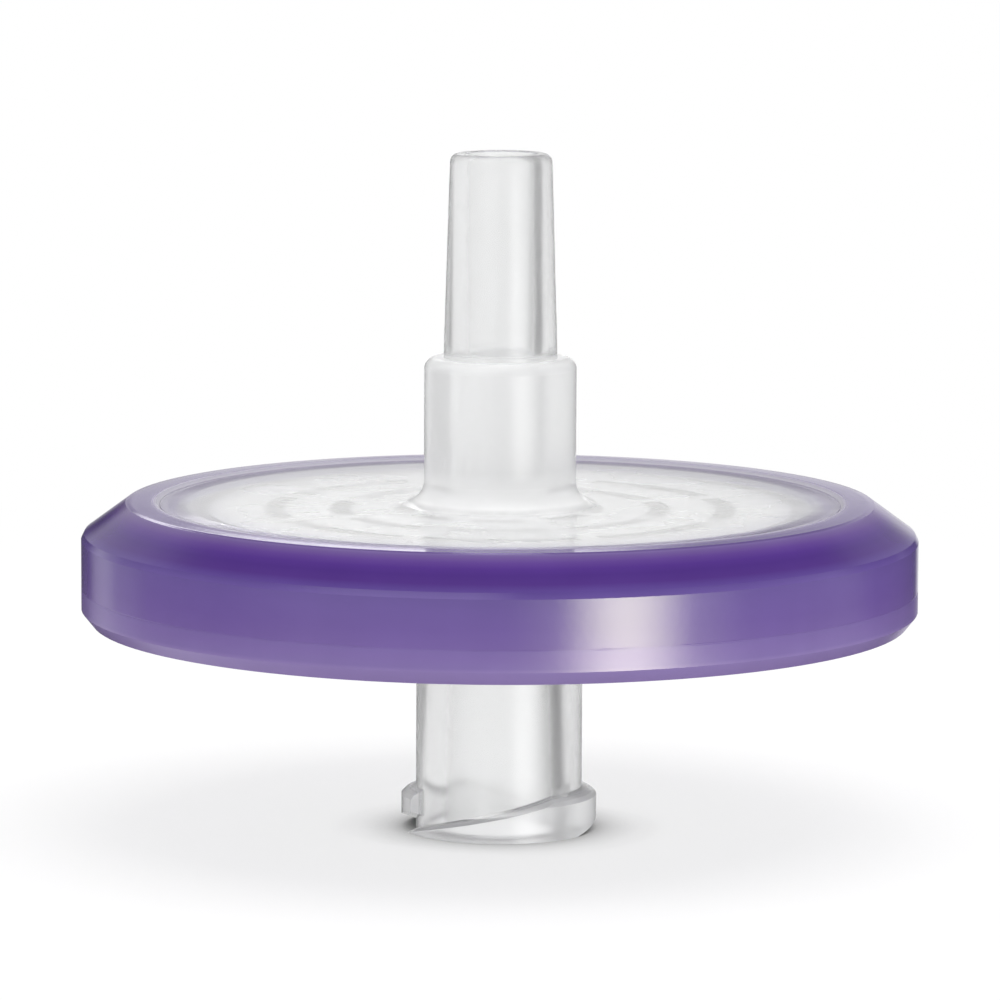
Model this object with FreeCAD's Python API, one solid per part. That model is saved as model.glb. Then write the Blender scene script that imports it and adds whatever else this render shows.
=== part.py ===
"""Syringe filter, 33 mm: female luer lock inlet, male luer slip outlet, overmoulded rim.

Four moulded or cut pieces, each its own solid:
  inlet_housing   clear half with the female luer lock and radial flow ribs
  outlet_housing  clear half with the male luer tip and concentric support ribs
  membrane        filter disc clamped between the two halves
  rim_overmould   ring moulded over both flanges, which seals the housing

Frame: millimetres, +Z along the flow axis towards the outlet, origin at the centre of the
inlet's mouth, which is the face that the filter stands on.
"""
import FreeCAD, Part
import math
import os

from FreeCAD import Vector

# ---- luer standard, common to both fittings -------------------------------------------------
LUER_TAPER = 0.06                # conical taper: change of diameter over length
LOCK_LEAD = 5.0                  # lead of the two-start luer lock thread
LOCK_STARTS = 2

# ---- overmoulded ring ------------------------------------------------------------------------
RING_BOTTOM_Z = 8.35             # underside of the ring, above the inlet's mouth
RING_HEIGHT = 4.71               # underside to flat top
RING_RADIUS = 16.5
RING_WALL = 2.2                  # plastic outside the housing flanges
RING_LIP_REACH = 0.9             # each lip reaches this far in over its flange
RING_TOP_LIP_THICKNESS = 0.7
RING_BOTTOM_LIP_THICKNESS = 0.7
RING_BEVEL_WIDTH = 1.81
RING_BEVEL_HEIGHT = 1.32
RING_SHOULDER_BREAK = 0.15       # edge between the bevel and the side, cut back this far on each
RING_CREST_BREAK = 0.08          # edge between the bevel and the flat, cut back on the bevel
RING_CROWN_WIDTH = 0.6           # and on the flat, which so falls away a little to the outside
RING_BOTTOM_CHAMFER_WIDTH = 0.4
RING_BOTTOM_CHAMFER_HEIGHT = 0.5
LIP_EDGE_CHAMFER = 0.15          # on the ring's top lip, beside the outlet face
LIP_HOOK_DEPTH = 0.3             # each flange is undercut this much, so that the lip hooks on

# ---- housing plates, clamp and membrane -------------------------------------------------------
FACE_RECESS = 0.1                # each housing face lies this far inside the ring's flat
INLET_PLATE_THICKNESS = 1.45
INLET_CHAMBER_DEPTH = 0.55       # floor of the inlet chamber to the membrane
OUTLET_CHANNEL_DEPTH = 0.5       # depth of the channels between the support ribs
WELD_WIDTH = 1.7                 # land outside the membrane, where the two halves meet
MEMBRANE_THICKNESS = 0.15
MEMBRANE_EDGE_GAP = 0.1          # between the membrane's edge and the locating step
CLAMP_WIDTH = 1.0                # edge of the membrane held between the halves

# ---- outlet: boss and male luer slip tip ------------------------------------------------------
BOSS_HEIGHT = 5.77               # above the outlet face
BOSS_FOOT_ROUND = 0.9
BOSS_SHOULDER_ROUND = 0.45
SHOULDER_WIDTH = 0.76            # step from the boss in to the foot of the tip
TIP_END_RADIUS = 2.0
TIP_LENGTH = 8.03
TIP_END_ROUND = 0.35
OUTLET_BORE_RADIUS = 1.3
OUTLET_BORE_CHAMFER = 0.15

# ---- inlet: female luer lock ------------------------------------------------------------------
SOCKET_MOUTH_RADIUS = 2.14
SOCKET_DEPTH = 7.6
SOCKET_MOUTH_CHAMFER = 0.12
HUB_WALL = 1.15                  # plastic round the socket's mouth
HUB_FOOT_CHAMFER = 0.6
INLET_BORE_RADIUS = 1.2
LUG_DEPTH = 0.58                 # crest of the lugs above the hub
LUG_HEIGHT = 1.5                 # mouth to the edge of the lug's crest
LUG_FLANK_RISE = 0.2             # further rise from the crest's edge to the hub
LUG_CORNER_CHAMFER = 0.15
LUG_ROOT_BITE = 0.3              # the lugs are rooted this deep in the hub
LUG_START_ANGLE = -69.0          # first lug leaves the mouth here, from -Y, +X side positive
LUG_END_OVERLAP = 5.0            # degrees that a lug runs on past the next one's start
GROOVE_WIDTH = 0.8               # axial way for the mating thread, between two lugs
FLANK_MARGIN_ANGLE = 12.0        # the flank cutters run on this far past the lug's ends
FLANK_MARGIN_RADIUS = 0.5        # and this far inside the hub and outside the crest

# ---- flow ribs --------------------------------------------------------------------------------
SUPPORT_RING_START_GAP = 2.0     # outlet bore to the first support ring
SUPPORT_RING_WIDTH = 0.8
SUPPORT_RING_GAP = 1.8
RADIAL_CHANNEL_COUNT = 8
RADIAL_CHANNEL_WIDTH = 0.9
INLET_RIB_COUNT = 24
INLET_RIB_WIDTH = 0.4
INLET_RIB_ROOT = 0.2             # the ribs are rooted this deep in the plate
INLET_RIB_CLEARANCE = 0.1        # rib tops to the membrane
INLET_RIB_START_GAP = 1.4        # inlet bore to the ribs' inner ends
INLET_RIB_END_GAP = 0.5          # ribs' outer ends to the chamber's wall

# ---- radii that follow ------------------------------------------------------------------------
FLANGE_RADIUS = RING_RADIUS - RING_WALL
LIP_INNER_RADIUS = FLANGE_RADIUS - RING_LIP_REACH
RING_FLAT_RADIUS = RING_RADIUS - RING_BEVEL_WIDTH
POCKET_RADIUS = FLANGE_RADIUS - WELD_WIDTH
MEMBRANE_RADIUS = POCKET_RADIUS - MEMBRANE_EDGE_GAP
FLOW_RADIUS = MEMBRANE_RADIUS - CLAMP_WIDTH
TIP_FOOT_RADIUS = TIP_END_RADIUS + LUER_TAPER / 2 * TIP_LENGTH
BOSS_RADIUS = TIP_FOOT_RADIUS + SHOULDER_WIDTH
HUB_RADIUS = SOCKET_MOUTH_RADIUS + HUB_WALL
LUG_RADIUS = HUB_RADIUS + LUG_DEPTH
SOCKET_END_RADIUS = SOCKET_MOUTH_RADIUS - LUER_TAPER / 2 * SOCKET_DEPTH

# ---- heights that follow, from the inlet's mouth ------------------------------------------------
RING_TOP_Z = RING_BOTTOM_Z + RING_HEIGHT
INLET_FACE_Z = RING_BOTTOM_Z + FACE_RECESS
OUTLET_FACE_Z = RING_TOP_Z - FACE_RECESS
INLET_FLANGE_Z = RING_BOTTOM_Z + RING_BOTTOM_LIP_THICKNESS
OUTLET_FLANGE_Z = RING_TOP_Z - RING_TOP_LIP_THICKNESS
CHAMBER_FLOOR_Z = INLET_FACE_Z + INLET_PLATE_THICKNESS
MEMBRANE_Z = CHAMBER_FLOOR_Z + INLET_CHAMBER_DEPTH
MEMBRANE_TOP_Z = MEMBRANE_Z + MEMBRANE_THICKNESS
CHANNEL_ROOF_Z = MEMBRANE_TOP_Z + OUTLET_CHANNEL_DEPTH
SHOULDER_Z = OUTLET_FACE_Z + BOSS_HEIGHT
TIP_END_Z = SHOULDER_Z + TIP_LENGTH


def rounded_outline(corners):
    """Closed outline in the XZ plane through (radius, height, corner round) entries."""
    points = [Vector(radius, 0, height) for radius, height, blend in corners]
    ends = []
    arcs = []
    for index, (radius, height, blend) in enumerate(corners):
        here = points[index]
        if not blend:
            ends.append((here, here))
            arcs.append([])
            continue
        to_last = (points[index - 1] - here).normalize()
        to_next = (points[(index + 1) % len(points)] - here).normalize()
        half_angle = to_last.getAngle(to_next) / 2
        setback = blend / math.tan(half_angle)
        inward = (to_last + to_next).normalize()
        middle = here + inward * (blend / math.sin(half_angle) - blend)
        arc = Part.Arc(here + to_last * setback, middle, here + to_next * setback)
        ends.append((here + to_last * setback, here + to_next * setback))
        arcs.append([arc.toBSpline().toShape()])
    edges = []
    for index, arc in enumerate(arcs):
        edges.append(Part.makeLine(ends[index - 1][1], ends[index][0]))
        edges.extend(arc)
    return Part.Wire(edges)


def turned(corners, start_angle=0.0, sweep=360.0):
    """Solid of revolution about the flow axis."""
    face = Part.Face(rounded_outline(corners))
    solid = face.revolve(Vector(0, 0, 0), Vector(0, 0, 1), sweep)
    solid.rotate(Vector(0, 0, 0), Vector(0, 0, 1), start_angle)
    return solid


def turned_about_axis(shape, angle):
    """Copy of a shape, turned about the flow axis."""
    copy = shape.copy()
    copy.rotate(Vector(0, 0, 0), Vector(0, 0, 1), angle)
    return copy


def tube(inner, outer, bottom, top):
    """Plain ring between two radii."""
    return turned([(inner, bottom, 0), (outer, bottom, 0), (outer, top, 0), (inner, top, 0)])


def helical_flank(start_angle, sweep, start_height, towards):
    """Block whose one face is the lock thread's flank; the block extends towards +Z or -Z.

    start_height is the flank's height at the lug's crest radius, at start_angle.
    """
    rise = LOCK_LEAD * sweep / 360
    edges = []
    for radius in (HUB_RADIUS - FLANK_MARGIN_RADIUS, LUG_RADIUS + FLANK_MARGIN_RADIUS):
        helix = Part.makeHelix(LOCK_LEAD, rise, radius)
        above_crest = (LUG_RADIUS - radius) * LUG_FLANK_RISE / LUG_DEPTH
        helix.translate(Vector(0, 0, start_height + towards * above_crest))
        edges.append(helix.Edges[0])
    surface = Part.makeRuledSurface(edges[0], edges[1])
    block = surface.extrude(Vector(0, 0, towards * (LUG_HEIGHT + LUG_FLANK_RISE + rise)))
    return turned_about_axis(block, start_angle - 90)


def lock_lug():
    """One lug of the luer lock, from the mouth up its helical flank to its flat end."""
    sweep = 360 / LOCK_STARTS + LUG_END_OVERLAP
    band = turned([
        (HUB_RADIUS - LUG_ROOT_BITE, 0, 0),
        (LUG_RADIUS, 0, 0),
        (LUG_RADIUS, LUG_HEIGHT - LUG_CORNER_CHAMFER, 0),
        (LUG_RADIUS - LUG_CORNER_CHAMFER, LUG_HEIGHT, 0),
        (HUB_RADIUS, LUG_HEIGHT + LUG_FLANK_RISE, 0),
        (HUB_RADIUS - LUG_ROOT_BITE, LUG_HEIGHT + LUG_FLANK_RISE, 0),
    ], LUG_START_ANGLE - 90, sweep)
    degrees_per_mm = 360 / LOCK_LEAD
    margin_height = FLANK_MARGIN_ANGLE / degrees_per_mm
    upper_sweep = (LUG_HEIGHT + LUG_FLANK_RISE) * degrees_per_mm + 2 * FLANK_MARGIN_ANGLE
    above = helical_flank(LUG_START_ANGLE - FLANK_MARGIN_ANGLE, upper_sweep, -margin_height, 1)
    groove_angle = GROOVE_WIDTH * degrees_per_mm
    lower_start = LUG_START_ANGLE + 360 / LOCK_STARTS - groove_angle - FLANK_MARGIN_ANGLE
    lower_sweep = groove_angle + LUG_END_OVERLAP + 2 * FLANK_MARGIN_ANGLE
    below = helical_flank(lower_start, lower_sweep, -margin_height, -1)
    return band.cut(above).cut(below)


def inlet_ribs():
    """Radial ribs on the inlet plate, which spread the flow and keep the membrane off the floor."""
    inner_end = INLET_BORE_RADIUS + INLET_RIB_START_GAP
    length = FLOW_RADIUS - INLET_RIB_END_GAP - inner_end
    height = INLET_CHAMBER_DEPTH - INLET_RIB_CLEARANCE + INLET_RIB_ROOT
    corner = Vector(inner_end, -INLET_RIB_WIDTH / 2, CHAMBER_FLOOR_Z - INLET_RIB_ROOT)
    rib = Part.makeBox(length, INLET_RIB_WIDTH, height, corner)
    pitch = 360 / INLET_RIB_COUNT
    return [turned_about_axis(rib, index * pitch) for index in range(INLET_RIB_COUNT)]


def build_inlet():
    """Inlet half: hub with the female luer lock, plate, clamp rim and radial ribs."""
    body = turned([
        (0, 0, 0),
        (HUB_RADIUS, 0, 0),
        (HUB_RADIUS, INLET_FACE_Z - HUB_FOOT_CHAMFER, 0),
        (HUB_RADIUS + HUB_FOOT_CHAMFER, INLET_FACE_Z, 0),
        (LIP_INNER_RADIUS, INLET_FACE_Z, 0),
        (LIP_INNER_RADIUS, INLET_FLANGE_Z + LIP_HOOK_DEPTH, 0),
        (FLANGE_RADIUS, INLET_FLANGE_Z, 0),
        (FLANGE_RADIUS, MEMBRANE_Z, 0),
        (FLOW_RADIUS, MEMBRANE_Z, 0),
        (FLOW_RADIUS, CHAMBER_FLOOR_Z, 0),
        (0, CHAMBER_FLOOR_Z, 0),
    ])
    for index in range(LOCK_STARTS):
        body = body.fuse(turned_about_axis(lock_lug(), index * 360 / LOCK_STARTS))
    body = body.fuse(inlet_ribs())
    socket = turned([
        (0, 0, 0),
        (SOCKET_MOUTH_RADIUS + SOCKET_MOUTH_CHAMFER, 0, 0),
        (SOCKET_MOUTH_RADIUS, SOCKET_MOUTH_CHAMFER, 0),
        (SOCKET_END_RADIUS, SOCKET_DEPTH, 0),
        (INLET_BORE_RADIUS, SOCKET_DEPTH, 0),
        (INLET_BORE_RADIUS, CHAMBER_FLOOR_Z, 0),
        (0, CHAMBER_FLOOR_Z, 0),
    ])
    return body.cut(socket).removeSplitter()


def support_ribs():
    """Concentric ribs under the outlet plate, broken by the radial channels."""
    ribs = []
    radius = OUTLET_BORE_RADIUS + SUPPORT_RING_START_GAP
    while radius + SUPPORT_RING_WIDTH + SUPPORT_RING_GAP <= FLOW_RADIUS:
        ribs.append(tube(radius, radius + SUPPORT_RING_WIDTH, MEMBRANE_TOP_Z, CHANNEL_ROOF_Z))
        radius += SUPPORT_RING_WIDTH + SUPPORT_RING_GAP
    corner = Vector(0, -RADIAL_CHANNEL_WIDTH / 2, MEMBRANE_TOP_Z)
    channel = Part.makeBox(FLOW_RADIUS, RADIAL_CHANNEL_WIDTH, OUTLET_CHANNEL_DEPTH, corner)
    pitch = 360 / RADIAL_CHANNEL_COUNT
    channels = [
        turned_about_axis(channel, (index + 0.5) * pitch) for index in range(RADIAL_CHANNEL_COUNT)
    ]
    return Part.makeCompound([rib.cut(channels) for rib in ribs])


def build_outlet():
    """Outlet half: plate, clamp rim, boss and male luer tip, with its support ribs."""
    body = turned([
        (0, CHANNEL_ROOF_Z, 0),
        (FLOW_RADIUS, CHANNEL_ROOF_Z, 0),
        (FLOW_RADIUS, MEMBRANE_TOP_Z, 0),
        (POCKET_RADIUS, MEMBRANE_TOP_Z, 0),
        (POCKET_RADIUS, MEMBRANE_Z, 0),
        (FLANGE_RADIUS, MEMBRANE_Z, 0),
        (FLANGE_RADIUS, OUTLET_FLANGE_Z, 0),
        (LIP_INNER_RADIUS, OUTLET_FLANGE_Z - LIP_HOOK_DEPTH, 0),
        (LIP_INNER_RADIUS, OUTLET_FACE_Z, 0),
        (BOSS_RADIUS, OUTLET_FACE_Z, BOSS_FOOT_ROUND),
        (BOSS_RADIUS, SHOULDER_Z, BOSS_SHOULDER_ROUND),
        (TIP_FOOT_RADIUS, SHOULDER_Z, 0),
        (TIP_END_RADIUS, TIP_END_Z, TIP_END_ROUND),
        (0, TIP_END_Z, 0),
    ])
    body = body.fuse(support_ribs())
    bore = turned([
        (0, MEMBRANE_TOP_Z, 0),
        (OUTLET_BORE_RADIUS, MEMBRANE_TOP_Z, 0),
        (OUTLET_BORE_RADIUS, TIP_END_Z - OUTLET_BORE_CHAMFER, 0),
        (OUTLET_BORE_RADIUS + OUTLET_BORE_CHAMFER, TIP_END_Z, 0),
        (0, TIP_END_Z, 0),
    ])
    return body.cut(bore).removeSplitter()


def build_membrane():
    """Filter membrane, a thin flat disc."""
    return Part.makeCylinder(MEMBRANE_RADIUS, MEMBRANE_THICKNESS, Vector(0, 0, MEMBRANE_Z))


def build_ring():
    """Overmoulded ring: a C section that wraps both flanges and hooks behind their undercuts."""
    shoulder_z = RING_TOP_Z - RING_BEVEL_HEIGHT
    bevel_length = math.hypot(RING_BEVEL_WIDTH, RING_BEVEL_HEIGHT)
    inward = RING_BEVEL_WIDTH / bevel_length
    upward = RING_BEVEL_HEIGHT / bevel_length
    return turned([
        (LIP_INNER_RADIUS, RING_BOTTOM_Z, 0),
        (RING_RADIUS - RING_BOTTOM_CHAMFER_WIDTH, RING_BOTTOM_Z, 0),
        (RING_RADIUS, RING_BOTTOM_Z + RING_BOTTOM_CHAMFER_HEIGHT, 0),
        (RING_RADIUS, shoulder_z - RING_SHOULDER_BREAK, 0),
        (RING_RADIUS - RING_SHOULDER_BREAK * inward, shoulder_z + RING_SHOULDER_BREAK * upward, 0),
        (RING_FLAT_RADIUS + RING_CREST_BREAK * inward, RING_TOP_Z - RING_CREST_BREAK * upward, 0),
        (RING_FLAT_RADIUS - RING_CROWN_WIDTH, RING_TOP_Z, 0),
        (LIP_INNER_RADIUS + LIP_EDGE_CHAMFER, RING_TOP_Z, 0),
        (LIP_INNER_RADIUS, RING_TOP_Z - LIP_EDGE_CHAMFER, 0),
        (LIP_INNER_RADIUS, OUTLET_FLANGE_Z - LIP_HOOK_DEPTH, 0),
        (FLANGE_RADIUS, OUTLET_FLANGE_Z, 0),
        (FLANGE_RADIUS, INLET_FLANGE_Z, 0),
        (LIP_INNER_RADIUS, INLET_FLANGE_Z + LIP_HOOK_DEPTH, 0),
    ])


def main():
    os.makedirs("parts", exist_ok=True)
    nodes = {
        "inlet_housing": build_inlet(),
        "outlet_housing": build_outlet(),
        "membrane": build_membrane(),
        "rim_overmould": build_ring(),
    }
    for name, shape in nodes.items():
        shape.exportStep(f"parts/{name}.step")
        print(name, "valid", shape.isValid(), "solids", len(shape.Solids), "volume", round(shape.Volume, 2))


main()
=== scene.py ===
"""Looks of the syringe filter: materials, light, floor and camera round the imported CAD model."""

import math

import bpy
from mathutils import Matrix, Vector


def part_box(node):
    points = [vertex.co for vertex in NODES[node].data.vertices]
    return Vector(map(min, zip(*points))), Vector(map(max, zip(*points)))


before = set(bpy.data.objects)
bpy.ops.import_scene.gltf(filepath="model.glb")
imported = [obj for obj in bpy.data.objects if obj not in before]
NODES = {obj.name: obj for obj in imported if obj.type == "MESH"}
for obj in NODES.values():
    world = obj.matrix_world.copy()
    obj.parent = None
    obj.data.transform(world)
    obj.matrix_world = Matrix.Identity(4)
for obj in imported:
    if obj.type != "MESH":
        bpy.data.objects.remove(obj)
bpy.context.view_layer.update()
CLEAR_NODES = ["inlet_housing", "outlet_housing"]
MM = 0.001

# ---- places on the object: the CAD boxes, and the sizes inside them that the looks follow --------
RING_LOW, RING_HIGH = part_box("rim_overmould")
MEMBRANE_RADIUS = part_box("membrane")[1].x
FLANGE_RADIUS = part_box("outlet_housing")[1].x
FACE_RECESS = 0.1 * MM           # the outlet face lies this far inside the ring's flat
BOSS_HEIGHT = 5.77 * MM
HUB_RADIUS = 3.29 * MM
LIP_REACH = 0.9 * MM             # the ring's lip reaches this far in over the flange
BEVEL_WIDTH = 1.81 * MM
CLAMP_WIDTH = 1.0 * MM           # edge of the membrane held between the halves
FACE_HEIGHT = RING_HIGH.z - FACE_RECESS
BOSS_TOP = FACE_HEIGHT + BOSS_HEIGHT
HUB_FOOT = RING_LOW.z
LIP_RADIUS = FLANGE_RADIUS - LIP_REACH
FLAT_RADIUS = RING_HIGH.x - BEVEL_WIDTH
CHAMBER_RADIUS = MEMBRANE_RADIUS - CLAMP_WIDTH

# ---- camera: the photograph's angle --------------------------------------------------------------
CAMERA_DISTANCE = 0.2382
CAMERA_ELEVATION = math.radians(7.715)
CAMERA_ROLL = math.radians(0.22)
CAMERA_LENS = 217.4
CAMERA_SENSOR = 36
AIM_HEIGHT = RING_HIGH.z

# ---- all plastic ---------------------------------------------------------------------------------
PLASTIC_IOR = 1.49
GRAIN_DEPTH = 0.003 * MM

# ---- purple rim: colours by height in millimetres, underside to flat top, with painted light -----
# Besides the plastic's own tone, these hold painted light. The chamfer and lower side are lighter as
# painted floor bounce, and partly for the thinner plastic. The bevel is darker as painted shade. The
# light and dark steps at the flat's outer edge are painted highlight and shade.
RIM_COLOURS_WITH_PAINTED_LIGHT = [
    (8.35, (0.259, 0.184, 0.430)),
    (8.83, (0.278, 0.200, 0.466)),
    (9.00, (0.230, 0.159, 0.426)),
    (9.40, (0.218, 0.144, 0.415)),
    (9.62, (0.207, 0.138, 0.405)),
    (9.74, (0.182, 0.112, 0.375)),
    (10.40, (0.165, 0.099, 0.360)),
    (11.20, (0.156, 0.096, 0.352)),
    (11.55, (0.148, 0.092, 0.340)),
    (11.74, (0.126, 0.076, 0.308)),
    (11.92, (0.104, 0.056, 0.270)),
    (12.08, (0.086, 0.036, 0.232)),
    (12.35, (0.078, 0.031, 0.225)),
    (12.55, (0.090, 0.036, 0.252)),
    (12.75, (0.122, 0.058, 0.285)),
    (12.94, (0.168, 0.105, 0.312)),
    (13.01, (0.200, 0.140, 0.350)),
    (13.04, (0.100, 0.050, 0.250)),
]
# The ring's inner edge is painted pale grey: partly its thin plastic, partly a painted reflection of
# the backdrop along the back of the flat.
LIP_COLOUR_AND_PAINTED_REFLECTION = (0.55, 0.53, 0.60)  # thin inner edge of the ring
PARTING_HEIGHT = 9.68 * MM
PARTING_WIDTH = 0.05 * MM        # half the parting line's width
PARTING_DEPTH = 0.012 * MM
CROWN_DEPTH = 0.016 * MM         # the outer part of the flat falls away this much
CREST_DEPTH = 0.038 * MM         # and its edge on the bevel this much more
RIM_ROUGHNESS = (0.10, 0.15)     # least and most
SKIRT_ROUGHNESS = 0.10           # more below the parting line
LIP_ROUGHNESS = 0.35             # more on the lip's inner edge

# ---- clear plastic: the plates' tint by radius in millimetres, painted shade towards the rim -----
# Greyer and purpler towards the rim: painted shade of the lip, and a painted view of the purple ring
# through the plate.
PLATE_TINTS_WITH_PAINTED_SHADE = [
    (10.3, (1.00, 1.00, 1.00)),
    (10.9, (0.96, 0.96, 0.97)),
    (11.6, (0.89, 0.88, 0.92)),
    (12.2, (0.81, 0.80, 0.87)),
    (12.5, (0.70, 0.68, 0.80)),
    (12.8, (0.50, 0.45, 0.64)),
    (13.5, (0.46, 0.41, 0.60)),
]
CLEAR_COLOUR = (0.981, 0.984, 0.984)
MOUTH_SHADE = 0.968              # share of the colour at the inlet's mouth
TIP_SHADE = 0.975                # and on the tip
HUB_CLARITY = 0.90
LUG_CLARITY = 0.60
PLATE_CLARITY = 0.58
FOOT_CLARITY = 0.25
BOSS_CLARITY = 0.46
TIP_CLARITY = 0.83
CLEAR_ROUGHNESS = (0.16, 0.23)   # least and most
HUB_ROUGHNESS = 0.03             # more on the hub and its lugs
WAVE_DEPTH = 0.03 * MM           # uneven flow of the moulded plastic
HUB_WAVE = 0.30                  # share of it on the hub
SINK_DEPTH = 0.115 * MM          # the outlet face falls away this much inside the lip
SHADOW_TINT = (0.85, 0.85, 0.86)

# ---- membrane ------------------------------------------------------------------------------------
MEMBRANE_WHITE = (0.69, 0.69, 0.68)
MEMBRANE_ROUGHNESS = (0.6, 0.8)
FIBRE_DEPTH = 0.02 * MM
CLAMP_SHADE = 0.12               # the clamped edge is this much darker

# ---- floor: its own shadow only near the object, plain white further out -------------------------
FLOOR_HALF = 1.5
SHADOW_RADIUS = 0.030            # the floor turns to plain white between these two
WHITE_RADIUS = 0.095
NEAR_REFLECTANCE = 0.30          # near the object the camera sees this much by the lamps' light
NEAR_GLOW = 0.72                 # and this much by itself
FLOOR_BOUNCE = 0.90              # reflectance of the floor to everything but the camera
CONTACT_REACH = 3.0 * MM
CONTACT_POWER = 1.15

# ---- studio; azimuths are measured from +Y, away from the camera, and grow to the right ----------
HORIZON_FILL = 1.30
ZENITH_FILL = 0.20
SHADED_SIDE = (-115, 20, 75)     # azimuth, and the angles beside it of full and of no shade
SHADE_DEPTH = 0.18
FLAG = (47, 13, 25)              # the same for the dark flag that is seen through the clear parts
FLAG_DEPTH = 0.93

# Lights in the world that only gloss shows: strength, azimuth, angles beside it of full and of no
# light, and the elevations where the light starts, is full, starts to fall and ends.
ROOM_BASE = 0.06
TO_ROOM_TOP = (-90, -80, 20, 50)
BACKDROP = (-90, -80, 5, 22)
ROOM_LAMPS = [
    # patches of the backdrop
    (0.62, 4, 4, 15, (-90, -80, 10, 22)),
    (0.28, -39, 6, 12, BACKDROP),
    (0.26, -50, 6, 20, BACKDROP),
    # sides and front of the room
    (0.25, -75, 30, 45, TO_ROOM_TOP),
    (0.45, 110, 35, 55, TO_ROOM_TOP),
    (0.70, 180, 50, 80, TO_ROOM_TOP),
    # panels: for the line on the front of the ring's flat, the left end of its bevel, the sides and
    # back of the flat, the right end of the bevel, and one high on the left in front
    (2.4, -5, 4.5, 8, (12.5, 15, 18, 21)),
    (0.40, -26, 7, 18, (4, 10, 28, 50)),
    (0.16, 4, 6, 14, (-90, -80, 7.1, 8.3)),
    (0.25, 26, 6, 14, (4, 10, 26, 42)),
    (1.2, -130, 40, 60, (36, 41, 51, 56)),
]

LAMP_DISTANCE = 0.30
OVERHEAD_PLACE = (0.03, -0.02, 0.35)
OVERHEAD_TARGET = (0, 0, 0.012)
OVERHEAD_SIZE = 0.30
OVERHEAD_POWER = 0.85

# Softboxes, which only gloss shows. A glow is (start, end, strength), as add_softbox says.
RIM_SOFTBOX_AZIMUTH = 145
RIM_SOFTBOX_PLACE = Vector((17.1, -34.05, 6.0)) * MM
RIM_SOFTBOX_SIZE = (42 * MM, 16 * MM)
RIM_SOFTBOX_COLOUR = (1.0, 1.0, 0.68)
RIM_SOFTBOX_GLOWS = [(0.0, 0.27, 12.0), (0.10, 0.50, 1.7)]
CLEAR_SOFTBOX_AZIMUTH = 146
CLEAR_SOFTBOX_HEIGHT = -0.14
CLEAR_SOFTBOX_SIZE = (0.243, 0.30)
CLEAR_SOFTBOX_COLOUR = (1.0, 1.0, 1.0)
CLEAR_SOFTBOX_GLOWS = [(0.086, 0.50, 3.1)]

# Fills, which gloss doesn't show.
FILL_SIZE = (0.25, 0.20)
FILL_TARGET = (0, 0, 0.010)
CLEAR_FILL_POWER = 0.22
HUB_FILL_POWER = 0.35


# ---- small helpers for node trees ----------------------------------------------------------------
def new_tree(name):
    material = bpy.data.materials.new(name)
    material.use_nodes = True
    material.node_tree.nodes.clear()
    return material, material.node_tree


def put(tree, socket, value):
    """Set an input to a number or a colour, or link it to another node's output."""
    if isinstance(value, bpy.types.NodeSocket):
        tree.links.new(value, socket)
    elif isinstance(value, tuple) and len(value) == 3 and socket.type == "RGBA":
        socket.default_value = (*value, 1)
    else:
        socket.default_value = value


def calc(tree, operation, *values):
    node = tree.nodes.new("ShaderNodeMath")
    node.operation = operation
    for socket, value in zip(node.inputs, values):
        put(tree, socket, value)
    return node.outputs[0]


def add_up(tree, *values):
    total = values[0]
    for value in values[1:]:
        total = calc(tree, "ADD", total, value)
    return total


def multiply(tree, first, second):
    return calc(tree, "MULTIPLY", first, second)


def step(tree, value, start, end, low=0.0, high=1.0, interpolation="SMOOTHSTEP"):
    """From low at start to high at end, with soft shoulders unless it is LINEAR."""
    node = tree.nodes.new("ShaderNodeMapRange")
    node.interpolation_type = interpolation
    put(tree, node.inputs["Value"], value)
    node.inputs["From Min"].default_value = start
    node.inputs["From Max"].default_value = end
    node.inputs["To Min"].default_value = low
    node.inputs["To Max"].default_value = high
    return node.outputs[0]


def blend_numbers(tree, share, first, second):
    node = tree.nodes.new("ShaderNodeMix")
    put(tree, node.inputs[0], share)
    put(tree, node.inputs[2], first)
    put(tree, node.inputs[3], second)
    return node.outputs[0]


def blend_colours(tree, share, first, second, blend_type="MIX"):
    node = tree.nodes.new("ShaderNodeMix")
    node.data_type = "RGBA"
    node.blend_type = blend_type
    put(tree, node.inputs[0], share)
    put(tree, node.inputs[6], first)
    put(tree, node.inputs[7], second)
    return node.outputs[2]


def scaled_colour(tree, colour, factor):
    node = tree.nodes.new("ShaderNodeVectorMath")
    node.operation = "SCALE"
    put(tree, node.inputs[0], colour)
    put(tree, node.inputs["Scale"], factor)
    return node.outputs[0]


def level_part(tree, vector):
    """A vector without its height."""
    node = tree.nodes.new("ShaderNodeVectorMath")
    node.operation = "MULTIPLY"
    node.inputs[1].default_value = (1, 1, 0)
    tree.links.new(vector, node.inputs[0])
    return node.outputs[0]


def height_of(tree, vector):
    node = tree.nodes.new("ShaderNodeSeparateXYZ")
    tree.links.new(vector, node.inputs[0])
    return node.outputs["Z"]


def position(tree):
    """Place on the object in metres, its height and its distance from the flow axis."""
    coordinate = tree.nodes.new("ShaderNodeTexCoord").outputs["Object"]
    length = tree.nodes.new("ShaderNodeVectorMath")
    length.operation = "LENGTH"
    tree.links.new(level_part(tree, coordinate), length.inputs[0])
    return coordinate, height_of(tree, coordinate), length.outputs["Value"]


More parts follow.
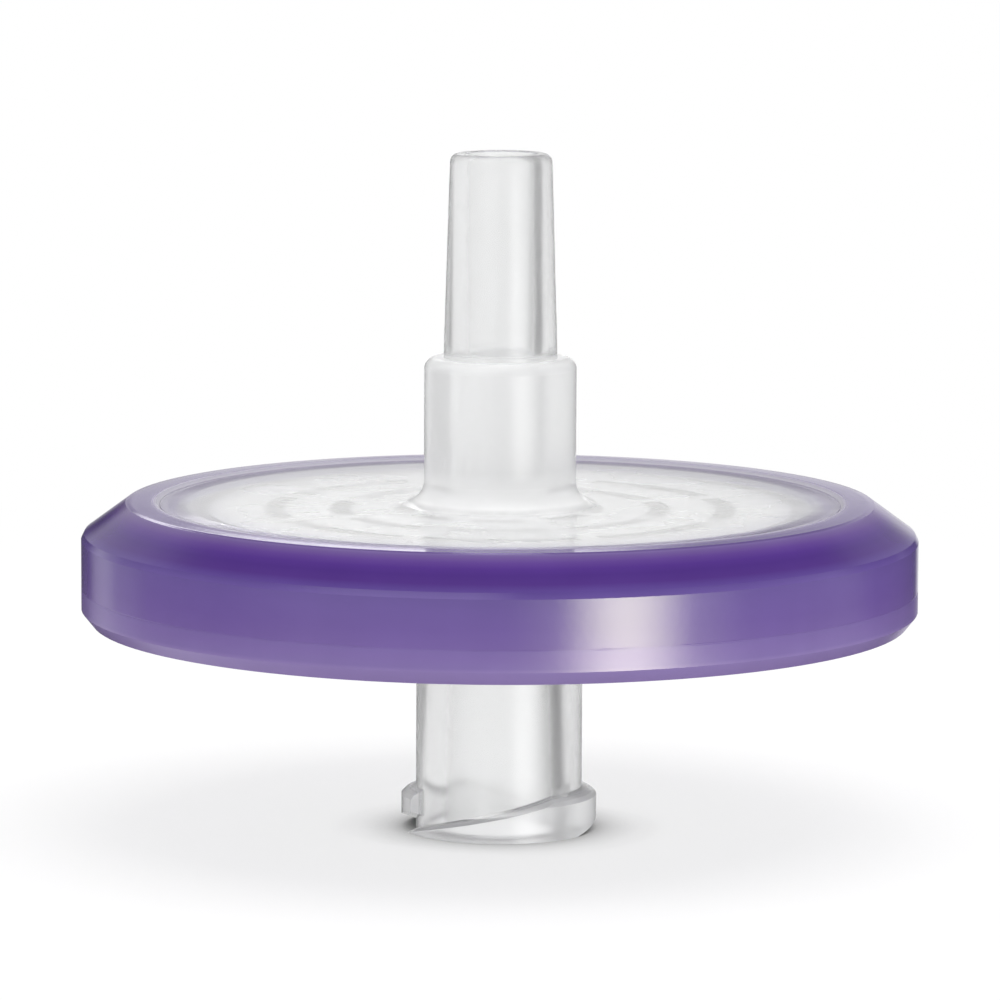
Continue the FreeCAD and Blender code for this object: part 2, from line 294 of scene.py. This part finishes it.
def noise(tree, coordinate, scale, stretch=(1, 1, 1), detail=2.0, roughness=0.5):
    """Noise from 0 to 1; scale counts features a metre, stretch squeezes them along the axes."""
    mapping = tree.nodes.new("ShaderNodeMapping")
    mapping.inputs["Scale"].default_value = stretch
    tree.links.new(coordinate, mapping.inputs["Vector"])
    node = tree.nodes.new("ShaderNodeTexNoise")
    node.inputs["Scale"].default_value = scale
    node.inputs["Detail"].default_value = detail
    node.inputs["Roughness"].default_value = roughness
    tree.links.new(mapping.outputs[0], node.inputs["Vector"])
    return node.outputs[0]


def bump(tree, height, distance, normal=None):
    """Normal bent by a height from 0 to 1 that stands for a distance, on top of another normal."""
    node = tree.nodes.new("ShaderNodeBump")
    node.inputs["Strength"].default_value = 1.0
    node.inputs["Distance"].default_value = distance
    put(tree, node.inputs["Height"], height)
    if normal is not None:
        tree.links.new(normal, node.inputs["Normal"])
    return node.outputs[0]


def principled(tree, **values):
    """Principled shader with its sockets set; an underscore in a name stands for a space."""
    node = tree.nodes.new("ShaderNodeBsdfPrincipled")
    for name, value in values.items():
        put(tree, node.inputs[name.replace("_", " ")], value)
    return node.outputs[0]


def mix_shaders(tree, share, first, second):
    node = tree.nodes.new("ShaderNodeMixShader")
    tree.links.new(share, node.inputs[0])
    tree.links.new(first, node.inputs[1])
    tree.links.new(second, node.inputs[2])
    return node.outputs[0]


def colour_scale(tree, value, entries):
    """Colours by a length in metres; the entries give millimetres and colours."""
    first, last = entries[0][0], entries[-1][0]
    share = step(tree, value, first * MM, last * MM, interpolation="LINEAR")
    ramp = tree.nodes.new("ShaderNodeValToRGB")
    tree.links.new(share, ramp.inputs[0])
    elements = ramp.color_ramp.elements
    while len(elements) < len(entries):
        elements.new(0.5)
    for element, (place, colour) in zip(elements, entries):
        element.position = (place - first) / (last - first)
        element.color = (*colour, 1)
    return ramp.outputs[0]


def finish_tree(tree, shader, output="ShaderNodeOutputMaterial"):
    out = tree.nodes.new(output)
    tree.links.new(shader, out.inputs["Surface"])


# ---- materials -----------------------------------------------------------------------------------
def rim_material():
    """Translucent purple polypropylene with a parting line, paler low down: thinner there, and painted
    floor bounce; the bevel carries painted shade.
    """
    material, tree = new_tree("purple_polypropylene")
    coordinate, height, radius = position(tree)
    cloud = noise(tree, coordinate, 260, (1, 1, 2.5), detail=3)
    streak = noise(tree, coordinate, 900, (1, 1, 0.12), detail=2)
    mottle = add_up(tree, multiply(tree, cloud, 0.16), multiply(tree, streak, 0.06), 0.89)
    # The colour by height holds painted floor bounce low down and painted shade on the bevel.
    colour = scaled_colour(tree, colour_scale(tree, height, RIM_COLOURS_WITH_PAINTED_LIGHT), mottle)
    lip = step(tree, radius, LIP_RADIUS + 0.05 * MM, LIP_RADIUS + 0.40 * MM, 1.0, 0.0)
    # Pale grey on the lip: the thin edge plus a painted reflection of the backdrop.
    colour = blend_colours(tree, lip, colour, LIP_COLOUR_AND_PAINTED_REFLECTION)

    grain = noise(tree, coordinate, 3500, detail=3)
    normal = bump(tree, grain, GRAIN_DEPTH)
    off_line = calc(tree, "ABSOLUTE", calc(tree, "SUBTRACT", height, PARTING_HEIGHT))
    groove = step(tree, off_line, 0.0, PARTING_WIDTH)
    worn = step(tree, noise(tree, coordinate, 330, (1, 1, 0.2)), 0.35, 0.65)
    groove = blend_numbers(tree, multiply(tree, worn, 0.8), groove, 1.0)
    normal = bump(tree, groove, PARTING_DEPTH, normal)
    top = step(tree, height, RING_HIGH.z - 0.25 * MM, RING_HIGH.z - 0.15 * MM)
    crown = step(tree, radius, FLAT_RADIUS - 0.95 * MM, FLAT_RADIUS - 0.55 * MM, 1.0, 0.0)
    normal = bump(tree, multiply(tree, top, crown), CROWN_DEPTH, normal)
    crest = step(tree, radius, FLAT_RADIUS - 0.22 * MM, FLAT_RADIUS + 0.12 * MM, 1.0, 0.0)
    normal = bump(tree, multiply(tree, top, crest), CREST_DEPTH, normal)

    skirt = step(tree, height, PARTING_HEIGHT, PARTING_HEIGHT + 0.08 * MM, SKIRT_ROUGHNESS, 0.0)
    roughness = add_up(tree, step(tree, cloud, 0.3, 0.7, *RIM_ROUGHNESS), skirt,
                       multiply(tree, lip, LIP_ROUGHNESS))
    shader = principled(tree, Base_Color=colour, Roughness=roughness, IOR=PLASTIC_IOR, Normal=normal)
    finish_tree(tree, shader)
    return material


def clear_material():
    """Natural polypropylene: see-through but milky, most so at the boss's foot."""
    material, tree = new_tree("clear_polypropylene")
    coordinate, height, radius = position(tree)

    def above_hub(low=0.0, high=1.0):
        return step(tree, height, HUB_FOOT - 0.3 * MM, HUB_FOOT, low, high)

    cloud = noise(tree, coordinate, 330, (1, 1, 0.35), detail=3)
    milk = calc(tree, "ADD", multiply(tree, cloud, 0.05), 0.972)
    mouth_shade = step(tree, height, 1.2 * MM, 1.8 * MM, MOUTH_SHADE, 1.0)
    tip_shade = step(tree, height, BOSS_TOP, BOSS_TOP + 0.3 * MM, 1.0, TIP_SHADE)
    milk = multiply(tree, milk, multiply(tree, mouth_shade, tip_shade))
    # The tint by radius paints the lip's shade and the purple ring's show-through onto the plates near
    # the rim.
    colour = blend_colours(tree, 1.0, scaled_colour(tree, CLEAR_COLOUR, milk),
                           colour_scale(tree, radius, PLATE_TINTS_WITH_PAINTED_SHADE), "MULTIPLY")

    grain = noise(tree, coordinate, 2600, detail=3)
    normal = bump(tree, grain, GRAIN_DEPTH)
    wave = noise(tree, coordinate, 420, (1, 1, 0.3), detail=2)
    normal = bump(tree, multiply(tree, wave, above_hub(HUB_WAVE, 1.0)), WAVE_DEPTH, normal)
    face = step(tree, height, FACE_HEIGHT - 0.05 * MM, FACE_HEIGHT - 0.02 * MM)
    sink = step(tree, radius, LIP_RADIUS - 1.00 * MM, LIP_RADIUS - 0.30 * MM, 1.0, 0.0, "LINEAR")
    normal = bump(tree, multiply(tree, face, sink), SINK_DEPTH, normal)
    # The sum stays under 0.27: past that, the cloud's outlines showed as thin lines on the hub.
    roughness = calc(tree, "ADD", step(tree, cloud, 0.3, 0.7, *CLEAR_ROUGHNESS),
                     above_hub(HUB_ROUGHNESS, 0.0))

    lug = step(tree, radius, HUB_RADIUS + 0.05 * MM, HUB_RADIUS + 0.3 * MM)
    foot = step(tree, height, FACE_HEIGHT + 0.02 * MM, FACE_HEIGHT + 0.2 * MM)
    boss = step(tree, height, FACE_HEIGHT + 0.8 * MM, FACE_HEIGHT + 1.6 * MM)
    tip = step(tree, height, BOSS_TOP + 0.02 * MM, BOSS_TOP + 0.3 * MM)
    clarity = blend_numbers(tree, lug, HUB_CLARITY, LUG_CLARITY)
    for share, next_clarity in ((above_hub(), PLATE_CLARITY), (foot, FOOT_CLARITY),
                                (boss, BOSS_CLARITY), (tip, TIP_CLARITY)):
        clarity = blend_numbers(tree, share, clarity, next_clarity)

    plastic = principled(tree, Base_Color=colour, Roughness=roughness, IOR=PLASTIC_IOR, Normal=normal,
                         Transmission_Weight=clarity)
    shadow = tree.nodes.new("ShaderNodeBsdfTransparent")
    shadow.inputs["Color"].default_value = (*SHADOW_TINT, 1)
    path = tree.nodes.new("ShaderNodeLightPath")
    finish_tree(tree, mix_shaders(tree, path.outputs["Is Shadow Ray"], plastic, shadow.outputs[0]))
    return material


def membrane_material():
    """White microporous film, matt, a little darker where the two halves clamp it."""
    material, tree = new_tree("filter_membrane")
    coordinate, _, radius = position(tree)
    fibre = noise(tree, coordinate, 2200, (1, 0.5, 1), detail=4, roughness=0.65)
    cloud = noise(tree, coordinate, 260, detail=2)
    level = add_up(tree, multiply(tree, fibre, 0.10), multiply(tree, cloud, 0.08), 0.91)
    clamp = step(tree, radius, CHAMBER_RADIUS - 0.15 * MM, CHAMBER_RADIUS + 0.05 * MM)
    pressed = calc(tree, "SUBTRACT", 1.0, multiply(tree, clamp, CLAMP_SHADE))
    colour = scaled_colour(tree, MEMBRANE_WHITE, multiply(tree, level, pressed))
    roughness = step(tree, cloud, 0.3, 0.7, *MEMBRANE_ROUGHNESS)
    normal = bump(tree, fibre, FIBRE_DEPTH)
    finish_tree(tree, principled(tree, Base_Color=colour, Roughness=roughness, Normal=normal))
    return material


def floor_material():
    """White table: pure white away from the object, a light soft shadow near it, clear from below."""
    material, tree = new_tree("floor_white")
    _, _, radius = position(tree)
    seen = tree.nodes.new("ShaderNodeLightPath").outputs["Is Camera Ray"]
    far = step(tree, radius, SHADOW_RADIUS, WHITE_RADIUS)
    occlusion = tree.nodes.new("ShaderNodeAmbientOcclusion")
    occlusion.samples = 8
    occlusion.inputs["Distance"].default_value = CONTACT_REACH
    contact = calc(tree, "POWER", occlusion.outputs["AO"], CONTACT_POWER)

    reflectance = blend_numbers(tree, seen, FLOOR_BOUNCE,
                                blend_numbers(tree, far, NEAR_REFLECTANCE, 0.0))
    diffuse = tree.nodes.new("ShaderNodeBsdfDiffuse")
    shade = scaled_colour(tree, (1.0, 1.0, 1.0), multiply(tree, reflectance, contact))
    tree.links.new(shade, diffuse.inputs["Color"])
    glow = tree.nodes.new("ShaderNodeEmission")
    glow.inputs["Color"].default_value = (1, 1, 1, 1)
    white = multiply(tree, blend_numbers(tree, far, NEAR_GLOW, 1.0), contact)
    tree.links.new(multiply(tree, seen, white), glow.inputs["Strength"])
    add = tree.nodes.new("ShaderNodeAddShader")
    tree.links.new(diffuse.outputs[0], add.inputs[0])
    tree.links.new(glow.outputs[0], add.inputs[1])

    below = tree.nodes.new("ShaderNodeNewGeometry").outputs["Backfacing"]
    clear = tree.nodes.new("ShaderNodeBsdfTransparent").outputs[0]
    finish_tree(tree, mix_shaders(tree, below, add.outputs[0], clear))
    return material


# ---- studio --------------------------------------------------------------------------------------
def compass(azimuth):
    """Level unit vector of an azimuth in degrees."""
    turn = math.radians(azimuth)
    return Vector((math.sin(turn), math.cos(turn), 0))


def beside(tree, direction, azimuth, inner, outer):
    """1 within the inner angle of an azimuth, 0 beyond the outer one."""
    axis = tree.nodes.new("ShaderNodeVectorMath")
    axis.operation = "DOT_PRODUCT"
    axis.inputs[1].default_value = compass(azimuth)
    tree.links.new(direction, axis.inputs[0])
    start, end = math.cos(math.radians(outer)), math.cos(math.radians(inner))
    return step(tree, axis.outputs["Value"], start, end)


def between_heights(tree, sine, *elevations):
    """0 to the first elevation, 1 from the second to the third and 0 from the fourth, in degrees."""
    low_start, low_end, high_start, high_end = [math.sin(math.radians(each)) for each in elevations]
    rise = step(tree, sine, low_start, low_end)
    fall = step(tree, sine, high_start, high_end, 1.0, 0.0)
    return multiply(tree, rise, fall)


def build_world():
    """White studio: plain white to the camera, and soft light that fades upwards for matt surfaces.

    Gloss shows a dim room with the lamps listed above. What is seen through the clear parts is
    white, with one dark flag behind on the right.
    """
    world = bpy.data.worlds.new("studio")
    bpy.context.scene.world = world
    world.use_nodes = True
    world.cycles.sampling_method = "NONE"
    tree = world.node_tree
    tree.nodes.clear()
    where = tree.nodes.new("ShaderNodeTexCoord").outputs["Generated"]
    sine = height_of(tree, where)
    unit = tree.nodes.new("ShaderNodeVectorMath")
    unit.operation = "NORMALIZE"
    tree.links.new(level_part(tree, where), unit.inputs[0])
    direction = unit.outputs[0]

    gloss = ROOM_BASE
    for strength, azimuth, inner, outer, elevations in ROOM_LAMPS:
        window = multiply(tree, beside(tree, direction, azimuth, inner, outer),
                          between_heights(tree, sine, *elevations))
        gloss = calc(tree, "ADD", gloss, multiply(tree, window, strength))
    flag = multiply(tree, beside(tree, direction, *FLAG), FLAG_DEPTH)
    glass = calc(tree, "SUBTRACT", 1.0, flag)
    fill = step(tree, sine, 0.0, 1.0, HORIZON_FILL, ZENITH_FILL)
    shade = multiply(tree, beside(tree, direction, *SHADED_SIDE), SHADE_DEPTH)
    fill = multiply(tree, fill, calc(tree, "SUBTRACT", 1.0, shade))

    path = tree.nodes.new("ShaderNodeLightPath")
    strength = blend_numbers(tree, path.outputs["Is Glossy Ray"], fill, gloss)
    strength = blend_numbers(tree, path.outputs["Is Transmission Ray"], strength, glass)
    strength = blend_numbers(tree, path.outputs["Is Camera Ray"], strength, 1.0)
    background = tree.nodes.new("ShaderNodeBackground")
    background.inputs["Color"].default_value = (1, 1, 1, 1)
    tree.links.new(strength, background.inputs["Strength"])
    finish_tree(tree, background.outputs[0], "ShaderNodeOutputWorld")


def add_area(name, place, target, size, power, node_names=()):
    """Oblong area lamp that faces a target and, where nodes are named, lights only those."""
    data = bpy.data.lights.new(name, "AREA")
    data.shape = "RECTANGLE"
    data.size, data.size_y = size
    data.energy = power
    lamp = bpy.data.objects.new(name, data)
    bpy.context.scene.collection.objects.link(lamp)
    lamp.location = place
    lamp.rotation_euler = (Vector(target) - Vector(place)).to_track_quat("-Z", "Y").to_euler()
    if node_names:
        receivers = bpy.data.collections.new(name)
        for node_name in node_names:
            receivers.objects.link(NODES[node_name])
        lamp.light_linking.receiver_collection = receivers
    return lamp


def add_overhead():
    """Main soft light, a little to the right and in front of the object."""
    lamp = add_area("overhead", OVERHEAD_PLACE, OVERHEAD_TARGET, (OVERHEAD_SIZE, OVERHEAD_SIZE),
                    OVERHEAD_POWER)
    lamp.visible_glossy = False


def add_softbox(name, azimuth, place, size, colour, glows, node_names):
    """Softbox that faces the object from an azimuth and only shows in the gloss of the named parts.

    A glow is full up to its start and gone from its end on, both measured from the softbox's
    upright middle line as shares of its width.
    """
    power = math.pi * size[0] * size[1]
    lamp = add_area(name, place, place - compass(azimuth), size, power, node_names)
    lamp.visible_diffuse = False
    lamp.visible_transmission = False
    lamp.visible_camera = False
    lamp.data.use_nodes = True
    tree = lamp.data.node_tree
    tree.nodes.clear()
    across = tree.nodes.new("ShaderNodeSeparateXYZ")
    tree.links.new(tree.nodes.new("ShaderNodeNewGeometry").outputs["Parametric"], across.inputs[0])
    off_centre = calc(tree, "ABSOLUTE", calc(tree, "SUBTRACT", across.outputs["X"], 0.5))
    steps = [step(tree, off_centre, start, end, full, 0.0) for start, end, full in glows]
    strength = add_up(tree, *steps)
    emission = tree.nodes.new("ShaderNodeEmission")
    emission.inputs["Color"].default_value = (*colour, 1)
    tree.links.new(strength, emission.inputs["Strength"])
    finish_tree(tree, emission.outputs[0], "ShaderNodeOutputLight")


def add_softboxes():
    """Both stand to the right of the camera: a small one close to the rim, a large one further off."""
    add_softbox("rim_softbox", RIM_SOFTBOX_AZIMUTH, RIM_SOFTBOX_PLACE, RIM_SOFTBOX_SIZE,
                RIM_SOFTBOX_COLOUR, RIM_SOFTBOX_GLOWS, ["rim_overmould"])
    place = compass(CLEAR_SOFTBOX_AZIMUTH) * LAMP_DISTANCE
    place.z = CLEAR_SOFTBOX_HEIGHT
    add_softbox("clear_softbox", CLEAR_SOFTBOX_AZIMUTH, place, CLEAR_SOFTBOX_SIZE,
                CLEAR_SOFTBOX_COLOUR, CLEAR_SOFTBOX_GLOWS, CLEAR_NODES)


def add_fill(name, azimuth, height, power, node_names):
    """Soft light from one side that only reaches the named parts and shows in nothing glossy."""
    place = compass(azimuth) * LAMP_DISTANCE
    place.z = height
    lamp = add_area(name, place, FILL_TARGET, FILL_SIZE, power, node_names)
    lamp.visible_glossy = False
    lamp.visible_transmission = False
    lamp.visible_camera = False


def build_floor():
    mesh = bpy.data.meshes.new("floor")
    corners = [(-1, -1), (1, -1), (1, 1), (-1, 1)]
    mesh.from_pydata([(x * FLOOR_HALF, y * FLOOR_HALF, 0) for x, y in corners], [], [(0, 1, 2, 3)])
    floor = bpy.data.objects.new("floor", mesh)
    bpy.context.scene.collection.objects.link(floor)
    floor.data.materials.append(floor_material())
    floor.visible_glossy = False
    floor.visible_transmission = False
    floor.visible_shadow = False


def build_camera():
    data = bpy.data.cameras.new("camera")
    data.lens = CAMERA_LENS
    data.sensor_width = CAMERA_SENSOR
    data.clip_start = 0.01
    data.clip_end = 10
    camera = bpy.data.objects.new("camera", data)
    bpy.context.scene.collection.objects.link(camera)
    target = Vector((0, 0, AIM_HEIGHT))
    away = Vector((0, -math.cos(CAMERA_ELEVATION), math.sin(CAMERA_ELEVATION)))
    facing = (-away).to_track_quat("-Z", "Y").to_matrix()
    camera.rotation_euler = (facing @ Matrix.Rotation(CAMERA_ROLL, 3, "Z")).to_euler()
    camera.location = target + away * CAMERA_DISTANCE
    bpy.context.scene.camera = camera


def main():
    bpy.context.scene.view_settings.view_transform = "Standard"
    clear = clear_material()
    for name in CLEAR_NODES:
        NODES[name].material_slots[0].material = clear
    NODES["membrane"].material_slots[0].material = membrane_material()
    NODES["rim_overmould"].material_slots[0].material = rim_material()
    build_world()
    build_floor()
    build_camera()
    add_overhead()
    add_softboxes()
    add_fill("clear_fill", -110, 0.03, CLEAR_FILL_POWER, CLEAR_NODES)
    add_fill("hub_fill", 125, 0.01, HUB_FILL_POWER, ["inlet_housing"])


main()
